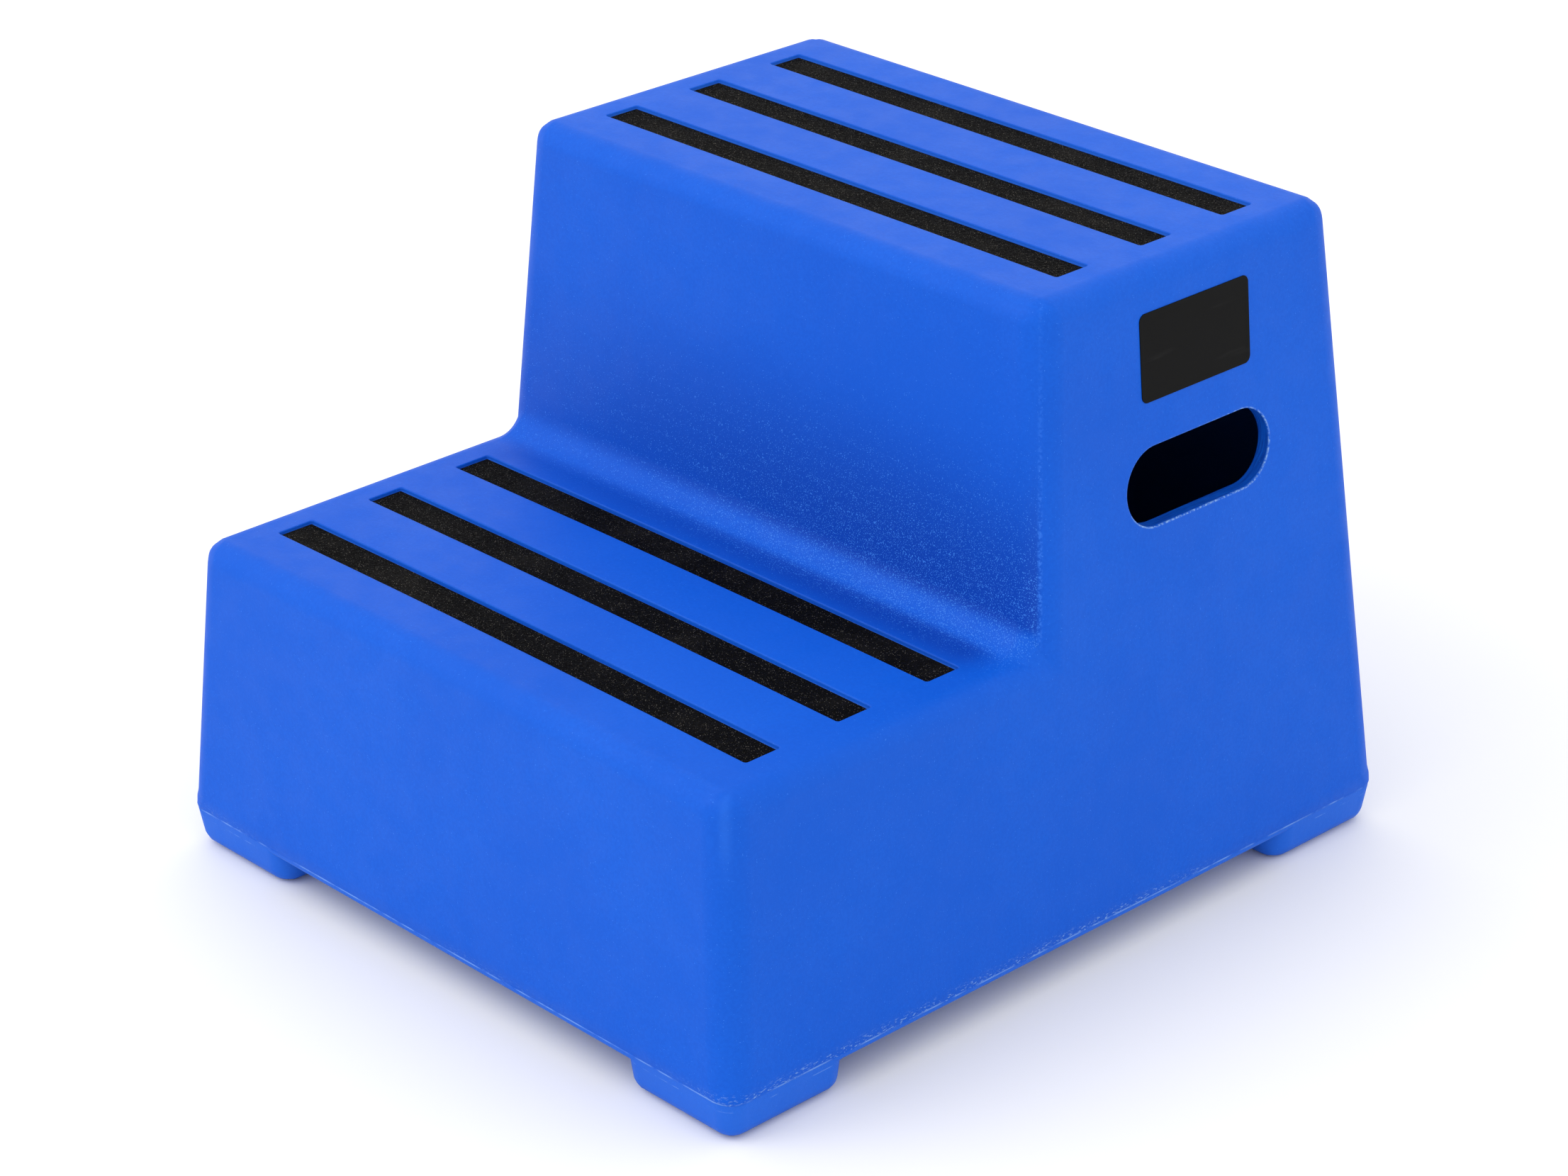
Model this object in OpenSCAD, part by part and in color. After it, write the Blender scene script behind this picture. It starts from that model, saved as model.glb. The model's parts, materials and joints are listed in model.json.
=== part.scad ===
// Two-tread mounting block: one hollow rotationally moulded body on four moulded feet,
// with anti-slip strips stuck in recesses on both treads and a carrying slot in each side.
// Millimetres, +Z up. The rider climbs towards +Y. The origin is on the floor, under the middle.

/* [Body] */
// Width at the hip, the widest line just above the mould's parting line
body_w = 542; // [480:1:660]
// Depth at the hip
body_d = 596; // [540:1:720]
// Height of the lower tread above the floor
low_h = 224; // [190:0.5:280]
// Height of the top tread above the floor
top_h = 448; // [400:0.5:550]
// Distance from the front of the hip to the riser, at the lower tread
low_run = 277; // [240:1:333]
// Wall thickness of the moulding
wall = 6; // [4:0.5:8]

/* [Draft] */
// Lean of the side walls, in degrees
side_draft = 4.5; // [1:0.1:6]
// Lean of the front wall
front_draft = 4.2; // [1:0.1:6]
// Lean of the upper riser
riser_draft = 3.9; // [1:0.1:6]
// Lean of the rear wall
rear_draft = 4.9; // [1:0.1:6]
// Lean of the lip and the feet below the parting line
lip_taper = 7.5; // [3:0.5:15]

/* [Rounding] */
// Radius of the upright corners above the hip
corner_r = 21; // [16:1:28]
// Radius of the upright corners of the lip and the feet
lip_corner_r = 14; // [12:1:24]
// Radius along the edges of the treads
tread_r = 15; // [10:1:20]
// Radius of the hollow where the lower tread meets the riser
root_r = 22; // [10:1:30]

/* [Base] */
// Height of the widest line above the floor
hip_h = 35.5; // [33:0.5:44]
// Height of the parting line above the floor
part_h = 28.5; // [26:0.5:32]
// How far the parting line lies inside the hip
part_in = 1.5; // [1:0.5:4]
// Height of the underside above the floor
under_h = 23; // [18:0.5:25]
// Length of each foot's side, measured at the floor
foot_l = 96; // [80:1:116]
// Radius along the bottom edges of the feet
foot_edge_r = 10; // [4:0.5:12]
// Radius where the feet run into the underside
foot_root_r = 8; // [4:0.5:10]

/* [Strips] */
// Width of the anti-slip strips
strip_w = 25; // [20:1:30]
// Thickness of the anti-slip strips
strip_t = 1; // [0.6:0.1:1.6]
// Depth of the recesses below the tread
recess_depth = 3; // [2:0.5:4]
// Distance from a side wall to the end of a strip
strip_side_margin = 31; // [28:1:60]
// Distance from a tread's front edge to the middle of its first strip
strip_front_margin = 59; // [45:1:70]
// Distance from the middle of the lower tread's last strip to the riser
low_back_margin = 54; // [45:1:70]
// Distance from the middle of the top tread's last strip to its rear edge
top_back_margin = 59; // [45:1:70]
// Gap between a strip's long edge and its recess
strip_side_gap = 1.5; // [0.5:0.5:3]
// Gap between a strip's end and its recess
strip_end_gap = 1; // [0.5:0.5:3]
// Radius at the corners of a recess
recess_r = 3; // [1:0.5:6]

/* [Hand slots] */
// Length of a slot
slot_l = 132; // [110:1:150]
// Height of a slot
slot_h = 53; // [40:1:60]
// Distance from the top tread down to the middle of a slot
slot_drop = 141.5; // [100:0.5:160]

/* [Label] */
// Length of the blank label on the right side
label_l = 100; // [60:1:120]
// Height of the label
label_h = 58; // [30:1:64]
// Thickness of the label
label_t = 0.4; // [0.2:0.1:1]
// Radius at the label's corners
label_r = 5; // [1:1:10]
// Distance from the top tread down to the middle of the label
label_drop = 56.5; // [50:0.5:70]
// Thickness of the label's glue
label_glue = 0.1; // [0.05:0.05:0.2]

/* [Foot pads] */
// Diameter of a rubber foot pad
pad_d = 50; // [36:1:56]
// Thickness of a foot pad
pad_t = 4; // [3:0.5:6]
// How far a pad stands below its foot
pad_proud = 0.5; // [0.2:0.1:2]
// Gap around a pad in its socket
pad_gap = 0.5; // [0.2:0.1:1]
// Chamfer on a pad's lower rim
pad_chamfer = 1; // [0.5:0.5:2]

/* [Hidden] */
$fn = 64;
hull_fn = 32;
thin = 0.01;
strip_rows = 3;

foot_bottom = pad_proud;
mid_y = body_d / 2;
slot_z = top_h - slot_drop;
label_z = top_h - label_drop;
socket_depth = pad_t - pad_proud;
socket_r = pad_d / 2 + pad_gap;

// Half width and front and rear positions of the drafted walls at a height, above the hip.
function side_x(z) = body_w / 2 - (z - hip_h) * tan(side_draft);
function front_y(z) = (z - hip_h) * tan(front_draft);
function rear_y(z) = body_d - (z - hip_h) * tan(rear_draft);
function riser_y(z) = low_run + (z - low_h) * tan(riser_draft);
// How far the lip lies inside the hip at a height below the parting line.
function lip_in(z) = part_in + (part_h - z) * tan(lip_taper);

// Middle of each strip from front to back, and half the length of the strips on each tread.
low_first_y = front_y(low_h) + strip_front_margin;
low_last_y = riser_y(low_h) - low_back_margin;
top_first_y = riser_y(top_h) + strip_front_margin;
top_last_y = rear_y(top_h) - top_back_margin;
function low_strip_y(i) = low_first_y + (low_last_y - low_first_y) * i / (strip_rows - 1);
function top_strip_y(i) = top_first_y + (top_last_y - top_first_y) * i / (strip_rows - 1);
low_half_l = side_x(low_h) - strip_side_margin;
top_half_l = side_x(top_h) - strip_side_margin;

// The carrying slots lie under the middle of the top tread.
slot_y = (riser_y(top_h) + rear_y(top_h)) / 2;

// Feet: inner faces and the middle of the square that a foot stands on.
foot_out = lip_in(foot_bottom);
foot_in_x = body_w / 2 - foot_out - foot_l;
foot_in_front = foot_out + foot_l;
foot_in_rear = body_d - foot_out - foot_l;
pad_x = foot_in_x + foot_l / 2;
pad_front_y = foot_out + foot_l / 2;
pad_rear_y = body_d - pad_front_y;

// A disc with a fully rounded rim.
module round_disc(r, edge_r) {
    rotate_extrude($fn = hull_fn)
        intersection() {
            translate([r - edge_r, 0]) circle(r = edge_r, $fn = hull_fn);
            translate([0, -edge_r]) square([r, 2 * edge_r]);
        }
}

// Puts its child at four corners: half width hw, from front y0 to rear y1, at height z.
module at_corners(hw, y0, y1, z, r) {
    for (x = [-hw + r, hw - r], y = [y0 + r, y1 - r])
        translate([x, y, z]) children();
}

// The lower block with its lip and a full base, shrunk by inset on every side.
module lower_form(inset) {
    r = corner_r - inset;
    lip_r = lip_corner_r - inset;
    edge = tread_r - inset;
    foot_edge = max(foot_edge_r - inset, 1);
    top_z = low_h - inset - edge;
    foot_z = foot_bottom + inset + foot_edge;
    hull() {
        at_corners(side_x(top_z) - inset, front_y(top_z) + inset, rear_y(top_z) - inset, top_z, r)
            round_disc(r, edge);
        at_corners(side_x(hip_h) - inset, inset, body_d - inset, hip_h, r)
            cylinder(r = r, h = thin, $fn = hull_fn);
        at_corners(body_w / 2 - part_in - inset, part_in + inset, body_d - part_in - inset, part_h, lip_r)
            cylinder(r = lip_r, h = thin, $fn = hull_fn);
        at_corners(body_w / 2 - lip_in(foot_z) - inset, lip_in(foot_z) + inset,
                   body_d - lip_in(foot_z) - inset, foot_z, lip_r)
            round_disc(lip_r, foot_edge);
    }
}

// The upper block, from the hip to the top tread, shrunk by inset on every side.
module upper_form(inset) {
    r = corner_r - inset;
    edge = tread_r - inset;
    top_z = top_h - inset - edge;
    hull() {
        at_corners(side_x(top_z) - inset, riser_y(top_z) + inset, rear_y(top_z) - inset, top_z, r)
            round_disc(r, edge);
        at_corners(side_x(hip_h) - inset, riser_y(hip_h) + inset, body_d - inset, hip_h, r)
            cylinder(r = r, h = thin, $fn = hull_fn);
    }
}

// Profile of the space between two feet: w wide at the floor, h high, rounded into the underside.
module gap_profile(w, h, root) {
    difference() {
        translate([-w / 2, -1]) square([w, h + 1]);
        for (s = [-1, 1])
            translate([s * (w / 2 - root), h - root])
                difference() {
                    translate([s > 0 ? 0 : -root, 0]) square([root, root]);
                    circle(r = root);
                }
    }
}

// The crossing spaces between the four feet. grow widens them for the inside of the wall.
module foot_gaps(grow) {
    across = 2 * (foot_in_x + grow);
    along = foot_in_rear - foot_in_front + 2 * grow;
    h = under_h + grow;
    translate([0, body_d + 1, 0]) rotate([90, 0, 0])
        linear_extrude(body_d + 2) gap_profile(across, h, foot_root_r + grow);
    translate([-body_w / 2 - 1, mid_y, 0]) rotate([90, 0, 90])
        linear_extrude(body_w + 2) gap_profile(along, h, foot_root_r + grow);
}

// A recess cutter for one strip, or with grow the moulded tray that carries it inside.
module strip_recess(half_l, y, z, grow) {
    l = half_l + strip_end_gap + grow;
    w = strip_w / 2 + strip_side_gap + grow;
    r = recess_r + grow;
    translate([0, y, z - recess_depth - grow])
        linear_extrude(recess_depth + grow + 1)
            rounded_rect(2 * l, 2 * w, r);
}

module rounded_rect(l, w, r) {
    square([l - 2 * r, w], center = true);
    square([l, w - 2 * r], center = true);
    for (x = [-l / 2 + r, l / 2 - r], y = [-w / 2 + r, w / 2 - r])
        translate([x, y]) circle(r = r);
}

module all_recesses(grow) {
    for (i = [0 : strip_rows - 1]) {
        strip_recess(low_half_l, low_strip_y(i), low_h, grow);
        strip_recess(top_half_l, top_strip_y(i), top_h, grow);
    }
}

// Sockets for the rubber pads, or with grow the moulded bosses above them.
module pad_sockets(grow) {
    for (x = [-pad_x, pad_x], y = [pad_front_y, pad_rear_y])
        translate([x, y, foot_bottom - 1])
            cylinder(r = socket_r + grow, h = socket_depth + grow + 1);
}

// Full-round slot through both side walls.
module hand_slots() {
    translate([-body_w / 2, slot_y, slot_z]) rotate([90, 0, 90])
        linear_extrude(body_w) {
            square([slot_l - slot_h, slot_h], center = true);
            for (s = [-1, 1])
                translate([s * (slot_l - slot_h) / 2, 0]) circle(d = slot_h);
        }
}

// Rounded fill in the corner of the lower tread and the riser, between the upright corners.
module root_fill() {
    half = side_x(low_h) - corner_r;
    rise = root_r * tan(riser_draft);
    translate([-half, riser_y(low_h), low_h]) rotate([90, 0, 90])
        linear_extrude(2 * half)
            difference() {
                polygon([[-root_r, -1], [wall - 1, -1], [rise, root_r], [-root_r, root_r]]);
                translate([-root_r, root_r]) circle(r = root_r);
            }
}

module body_shell_form() {
    difference() {
        union() {
            lower_form(0);
            upper_form(0);
            root_fill();
        }
        foot_gaps(0);
        all_recesses(0);
        pad_sockets(0);
        hand_slots();
        difference() {
            union() {
                lower_form(wall);
                upper_form(wall);
            }
            foot_gaps(wall);
            all_recesses(wall);
            pad_sockets(wall);
        }
    }
}

module body_shell() {
    color([0.16, 0.40, 0.88]) translate([0, -mid_y, 0]) body_shell_form();
}

// One anti-slip strip, lying on the floor of its recess.
module strip(half_l, y, z) {
    color([0.09, 0.09, 0.09])
        translate([-half_l, y - strip_w / 2 - mid_y, z - recess_depth])
            cube([2 * half_l, strip_w, strip_t]);
}

module low_strip(i) {
    strip(low_half_l, low_strip_y(i), low_h);
}

module top_strip(i) {
    strip(top_half_l, top_strip_y(i), top_h);
}

// Blank label on the right side wall, above the carrying slot.
module side_label() {
    color([0.05, 0.05, 0.06])
        translate([side_x(label_z), slot_y - mid_y, label_z])
            rotate([0, -side_draft, 0]) translate([label_glue, 0, 0])
                rotate([90, 0, 90]) linear_extrude(label_t)
                    rounded_rect(label_l, label_h, label_r);
}

// One round rubber pad in the socket under a foot.
module foot_pad(x, y) {
    color([0.12, 0.12, 0.12])
        translate([x, y - mid_y, 0])
            rotate_extrude()
                polygon([
                    [0, 0], [pad_d / 2 - pad_chamfer, 0], [pad_d / 2, pad_chamfer],
                    [pad_d / 2, pad_t], [0, pad_t]
                ]);
}

body_shell();
low_strip(0);  // low_strip_front
low_strip(1);  // low_strip_middle
low_strip(2);  // low_strip_back
top_strip(0);  // top_strip_front
top_strip(1);  // top_strip_middle
top_strip(2);  // top_strip_back
side_label();
foot_pad(-pad_x, pad_front_y);  // foot_pad_front_left
foot_pad(pad_x, pad_front_y);  // foot_pad_front_right
foot_pad(-pad_x, pad_rear_y);  // foot_pad_rear_left
foot_pad(pad_x, pad_rear_y);  // foot_pad_rear_right
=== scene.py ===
"""Models the looks of a two-tread mounting block around its packed frame, and its studio."""

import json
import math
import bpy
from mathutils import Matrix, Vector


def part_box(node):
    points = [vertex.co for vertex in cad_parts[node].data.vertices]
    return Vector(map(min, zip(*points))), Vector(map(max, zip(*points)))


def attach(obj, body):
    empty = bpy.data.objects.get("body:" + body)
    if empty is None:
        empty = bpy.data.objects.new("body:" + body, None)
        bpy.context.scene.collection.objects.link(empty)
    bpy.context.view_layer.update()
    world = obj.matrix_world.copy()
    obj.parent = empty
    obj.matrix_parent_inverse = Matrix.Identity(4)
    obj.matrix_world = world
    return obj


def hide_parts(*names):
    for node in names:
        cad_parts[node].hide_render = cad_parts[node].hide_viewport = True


bl_info = {
    "name": "Mounting Block",
    "version": (1, 0, 0),
    "blender": (4, 5, 0),
    "location": "View3D > Sidebar > Mounting Block",
    "description": "A moulded two-tread mounting block with anti-slip strips",
    "category": "Object",
}

import bmesh
import bpy
from bpy.props import FloatProperty, FloatVectorProperty, IntProperty, PointerProperty
from mathutils import Quaternion, Vector, noise

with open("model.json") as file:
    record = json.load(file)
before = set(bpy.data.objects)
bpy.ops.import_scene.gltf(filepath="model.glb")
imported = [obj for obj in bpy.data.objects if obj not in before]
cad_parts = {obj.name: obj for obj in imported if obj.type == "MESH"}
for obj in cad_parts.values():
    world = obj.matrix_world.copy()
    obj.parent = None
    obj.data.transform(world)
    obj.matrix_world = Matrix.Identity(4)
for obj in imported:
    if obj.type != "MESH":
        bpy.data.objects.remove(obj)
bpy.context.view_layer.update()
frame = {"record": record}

ROOT = "root"
LOW_STRIPS = ("low_strip_front", "low_strip_middle", "low_strip_back")
TOP_STRIPS = ("top_strip_front", "top_strip_middle", "top_strip_back")
FOOT_ENDS = ("front_left", "front_right", "rear_left", "rear_right")
FOOT_PADS = tuple("foot_pad_" + end for end in FOOT_ENDS)
BODY_LOW, BODY_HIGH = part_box("body_shell")
SLOT_MOUNT = next(m for m in frame["record"]["mounts"] if m["name"] == "hand_slot_right")
SLOT_PLACE = Vector(SLOT_MOUNT["pos_m"])
WEIGHT_LAYER = "bevel_weight_edge"
INSIDE_LAYER = "inside"

# Slack in metres for finding single vertices, and for finding what lies in a plane
SLACK = 1e-5
PLANE_SLACK = 1e-4

# How much of a face's normal points in the direction that is asked for
FACES_UP = 0.5
NEARLY_LEVEL = 0.99
NEARLY_UPRIGHT = 0.3

# Angles in radians between the faces at an edge
FLAT_ANGLE = math.radians(15)
SHARP_ANGLE = 1.0

WHITE = (1.0, 1.0, 1.0, 1.0)
LEAST_RADIUS = 0.002

# The bar's number is twice an odd one, so none of its corners lies on the plane that splits it
BAR_SIDES = 62
DISC_SIDES = 64
ROOT_SEGMENTS = 2
RIM_SEGMENTS = 3
CORNER_SEGMENTS = 4
LABEL_SEGMENTS = 10


def length(description, default):
    return FloatProperty(description=description, default=default, unit="LENGTH", precision=4)


def angle(description, degrees):
    return FloatProperty(description=description, default=math.radians(degrees), subtype="ANGLE")


def number(description, default):
    return FloatProperty(description=description, default=default)


def whole(description, default, least):
    return IntProperty(description=description, default=default, min=least)


def position(description, default):
    return FloatVectorProperty(description=description, default=default, size=3,
                               subtype="XYZ", unit="LENGTH")


def colour(description, default):
    return FloatVectorProperty(description=description, default=default, size=4,
                               subtype="COLOR")


class BlockBody(bpy.types.PropertyGroup):
    """Sizes of the one-piece moulding."""

    width: length("Width at the hip, the widest line", BODY_HIGH.x - BODY_LOW.x)
    depth: length("Depth at the hip", BODY_HIGH.y - BODY_LOW.y)
    low_height: length("Lower tread above the floor", 0.224)
    top_height: length("Top tread above the floor", BODY_HIGH.z)
    low_run: length("Front of the hip to the riser, at the lower tread", 0.277)
    wall: length("Wall thickness", 0.006)
    side_draft: angle("Lean of the side walls", 4.5)
    front_draft: angle("Lean of the front wall", 4.2)
    riser_draft: angle("Lean of the riser", 3.9)
    rear_draft: angle("Lean of the rear wall", 4.9)
    lip_taper: angle("Lean of the lip and the feet", 7.5)
    foot_draft: angle("Lean of the feet's inner faces", 2.0)
    corner_radius: length("Radius of the upright corners", 0.021)
    lip_corner_radius: length("Radius of the feet's outer corners", 0.014)
    tread_radius: length("Radius along the tread edges", 0.015)
    root_radius: length("Radius between the lower tread and the riser", 0.022)
    hip_radius: length("How far the widest line is rounded each way", 0.0045)
    hip_height: length("Widest line above the floor", 0.0355)
    part_height: length("Parting line above the floor", 0.0285)
    part_inset: length("How far the parting line lies inside the hip", 0.0015)
    under_height: length("Underside above the floor", 0.023)
    under_radius: length("Radius along the underside's edge", 0.0035)
    foot_bottom: length("Lowest moulded surface above the floor", BODY_LOW.z)
    foot_length: length("Side of each foot at the floor", 0.096)
    foot_edge_radius: length("Radius along the bottom of the feet", 0.010)
    foot_corner_radius: length("Radius of the feet's inner corners", 0.016)
    foot_root_radius: length("Radius where the feet meet the underside", 0.008)
    crown: length("Rise of the lower tread at its middle", 0.002)
    crown_fade: length("Height over which the crown dies out", 0.06)
    slice: length("Distance between the cross sections that carry the crown", 0.03)
    flash: length("How far the trimmed parting line stands out", 0.0004)
    flash_band: length("Height of the trimmed ridge along the parting line", 0.0009)
    segments: whole("Segments in each rounding", 8, 2)


class BlockCuts(bpy.types.PropertyGroup):
    """Sizes of the strip recesses, hand slots and pad sockets."""

    side_gap: length("Gap beside a strip's long edge", 0.0015)
    end_gap: length("Gap at a strip's end", 0.001)
    recess_corner: length("Radius at a recess's corners", 0.0018)
    recess_rim: length("Radius along a recess's upper edge", 0.0011)
    recess_root: length("Radius along a recess's floor", 0.0006)
    slot_length: length("Length of a hand slot", 0.132)
    slot_height: length("Height of a hand slot", 0.053)
    slot_rim: length("Radius along a hand slot's edges", 0.0009)
    slot_wall: length("Thickness of the plastic around a hand slot", 0.009)
    slot_margin: length("Width of the thicker plastic around a hand slot", 0.014)
    socket_gap: length("Gap around a foot pad in its socket", 0.0005)


class BlockTrim(bpy.types.PropertyGroup):
    """Sizes of the strips, the label and the foot pads."""

    strip_cell: length("Side of the cells of a strip's surface", 0.00125)
    strip_corner: length("Radius at a strip's corners", 0.0009)
    strip_edge: length("Radius along a strip's upper edge", 0.00015)
    grit_size: length("Size of the clusters of grit", 0.0019)
    grit_height: length("Height of the clusters of grit", 0.0004)
    label_length: length("Length of the side label", 0.1)
    label_height: length("Height of the side label, along the wall", 0.058)
    label_thickness: length("Thickness of the side label", 0.0004)
    label_corner: length("Radius at the label's corners", 0.005)
    label_border: length("Width of the label's raised border", 0.0032)
    label_step: length("Height of the label's raised border", 0.00007)
    pad_chamfer: length("Chamfer around a foot pad's underside", 0.001)
    groove_width: length("Width of the grooves under a foot pad", 0.0014)
    groove_depth: length("Depth of the grooves under a foot pad", 0.0007)
    land_width: length("Width of the flat rings between the grooves", 0.0045)
    groove_count: whole("Grooves under each foot pad", 3, 1)


class BlockFinish(bpy.types.PropertyGroup):
    """Colours of the materials."""

    plastic: colour("Blue of the moulding", (0.0015, 0.094, 0.575, 1))
    plastic_deep: colour("Darker blue in the clouding", (0.0008, 0.083, 0.535, 1))
    # Paler blue: a painted highlight on the upright corners and in the recesses, and the paler blue
    # below the parting line
    plastic_pale: colour("Paler blue on worn edges", (0.022, 0.145, 0.66, 1))
    # Painted shade: this deepest blue darkens the riser's root corner and the slots' cut faces
    plastic_painted_shade: colour("Deepest blue, near the riser's foot", (0.0003, 0.043, 0.36, 1))
    # Painted shade: the closed inside is given this near-black blue because it lies in shade
    inside: colour("Dark plastic of the closed inside", (0.001, 0.03, 0.15, 1))
    fleck: colour("Pale specks in the moulding", (0.04, 0.20, 0.70, 1))
    scuff: colour("Whitened plastic of trimmed edges", (0.22, 0.40, 0.74, 1))
    tape: colour("Black of the anti-slip tape", (0.0022, 0.0021, 0.0020, 1))
    # Painted glints: pale grey specks on the grit stand in for its sparkle, and also tint the worn
    # patches
    tape_grain: colour("Grey glints in the grit", (0.22, 0.20, 0.17, 1))
    # Tan given to the tape's upright side faces
    tape_edge: colour("Film and glue at the tape's cut edge", (0.13, 0.105, 0.075, 1))
    film: colour("Black of the label film", (0.0016, 0.0016, 0.0018, 1))
    rubber: colour("Black of the foot pads", (0.018, 0.018, 0.019, 1))
    grime: colour("Grey-brown dust on the foot pads", (0.10, 0.095, 0.085, 1))


class BlockStage(bpy.types.PropertyGroup):
    """The studio around the block."""

    azimuth: angle("Direction the camera looks in, from +Y towards -X", 47.23)
    elevation: angle("How steeply the camera looks down", 25.6)
    roll: angle("Turn of the camera about its own line of sight", -0.84)
    distance: length("From the camera to the point it looks at", 2.8729)
    target: position("The point that the camera looks at", (0.0128, -0.0090, 0.1881))
    lens: number("Focal length in millimetres", 100.57)
    sensor: number("Sensor width in millimetres", 36.0)
    floor_size: length("Side of the square floor", 40.0)
    floor_colour: colour("Pale grey of the floor", (0.86, 0.86, 0.86, 1))
    floor_mottle: colour("Darker grey in the floor", (0.8, 0.8, 0.8, 1))
    surround: number("Brightness of the white surround", 1.29)
    key_power: number("Power of the soft light in watts", 29.0)
    key_size: length("Diameter of the soft light", 2.6)
    key_place: position("Place of the soft light", (-1.2, -2.4, 2.6))


# Editing helpers


def select_only(obj):
    bpy.ops.object.select_all(action="DESELECT")
    obj.select_set(True)
    bpy.context.view_layer.objects.active = obj


def edit_mode(obj):
    select_only(obj)
    bpy.ops.object.mode_set(mode="EDIT")


def object_mode():
    bpy.ops.object.mode_set(mode="OBJECT")


def pick(obj, kind, test):
    """Selects only the vertices, edges or faces of the edited mesh that pass a test."""
    bpy.ops.mesh.select_mode(type={"verts": "VERT", "edges": "EDGE", "faces": "FACE"}[kind])
    bpy.ops.mesh.select_all(action="DESELECT")
    mesh = bmesh.from_edit_mesh(obj.data)
    found = [item for item in getattr(mesh, kind) if test(item)]
    for item in found:
        item.select_set(True)
    mesh.select_flush_mode()
    bmesh.update_edit_mesh(obj.data)
    return len(found)


def near(a, b, slack=SLACK):
    return abs(a - b) < slack


def smooth_step(low, high, value):
    t = min(max((value - low) / (high - low), 0.0), 1.0)
    return t * t * (3 - 2 * t)


def extrude_up(height):
    bpy.ops.mesh.extrude_region_move(TRANSFORM_OT_translate={"value": (0, 0, height)})


def bevel_edges(radius, segments):
    bpy.ops.mesh.bevel(offset=radius, segments=segments, affect="EDGES")


def apply_transform():
    bpy.ops.object.transform_apply(location=True, rotation=True, scale=True)


def add_block(name, centre, size, rotation=(0, 0, 0)):
    bpy.ops.object.select_all(action="DESELECT")
    bpy.ops.mesh.primitive_cube_add(size=1.0, location=centre, rotation=rotation, scale=size)
    obj = bpy.context.object
    obj.name = name
    apply_transform()
    return obj


def add_cylinder(sides, radius, depth, centre, rotation=(0, 0, 0)):
    bpy.ops.object.select_all(action="DESELECT")
    bpy.ops.mesh.primitive_cylinder_add(vertices=sides, radius=radius, depth=depth,
                                        location=centre, rotation=rotation)
    apply_transform()
    return bpy.context.object


def apply_modifier(obj, modifier):
    select_only(obj)
    bpy.ops.object.modifier_apply(modifier=modifier.name)


def cut_away(obj, cutter):
    """Takes a closed cutter out of a closed piece, and deletes the cutter."""
    boolean = obj.modifiers.new("Cut", "BOOLEAN")
    boolean.operation = "DIFFERENCE"
    boolean.solver = "EXACT"
    boolean.object = cutter
    apply_modifier(obj, boolean)
    bpy.data.objects.remove(cutter)


def mark_faces(obj, layer_name, value):
    """Gives every face the same value of an attribute, which the cuts then carry over."""
    layer = obj.data.attributes.new(layer_name, "FLOAT", "FACE")
    layer.data.foreach_set("value", [value] * len(obj.data.polygons))


def finish_shading(obj, degrees):
    """Smooths the rounded faces, and keeps the flat ones flat with weighted normals."""
    select_only(obj)
    bpy.ops.object.shade_smooth_by_angle(angle=math.radians(degrees))
    weighted = obj.modifiers.new("Weighted normals", "WEIGHTED_NORMAL")
    weighted.keep_sharp = True
    apply_modifier(obj, weighted)


def settle(obj, nodes):
    """Ties a finished piece to the frame."""
    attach(obj, ROOT)
    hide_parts(*nodes)


# The moulded body


class Form:
    """The drafted two-step form, moved in by an inset on every side."""

    def __init__(self, sizes, inset=0.0):
        self.s = sizes
        self.inset = inset
        self.low = sizes.low_height - inset
        self.top = sizes.top_height - inset
        self.under = sizes.under_height + inset
        self.bottom = sizes.foot_bottom + inset

    def side(self, z):
        return self.s.width / 2 - (z - self.s.hip_height) * math.tan(self.s.side_draft) - self.inset

    def front(self, z):
        lean = (z - self.s.hip_height) * math.tan(self.s.front_draft)
        return -self.s.depth / 2 + lean + self.inset

    def rear(self, z):
        lean = (z - self.s.hip_height) * math.tan(self.s.rear_draft)
        return self.s.depth / 2 - lean - self.inset

    def riser(self, z):
        lean = (z - self.s.low_height) * math.tan(self.s.riser_draft)
        return -self.s.depth / 2 + self.s.low_run + lean + self.inset

    def lip(self, z):
        """How far the outline lies inside the hip at a height from the parting line down."""
        lean = (self.s.part_height - z) * math.tan(self.s.lip_taper)
        return self.s.part_inset + lean + self.inset

    def foot_inner(self, half, z):
        """Position of a foot's inner face at a height, along X or Y."""
        floor_inset = self.lip(self.s.foot_bottom) - self.inset
        lean = (z - self.s.foot_bottom) * math.tan(self.s.foot_draft)
        return half - floor_inset - self.s.foot_length - lean + self.inset


def move_vertices(obj, test, offset):
    pick(obj, "verts", test)
    bpy.ops.transform.translate(value=offset)


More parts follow.
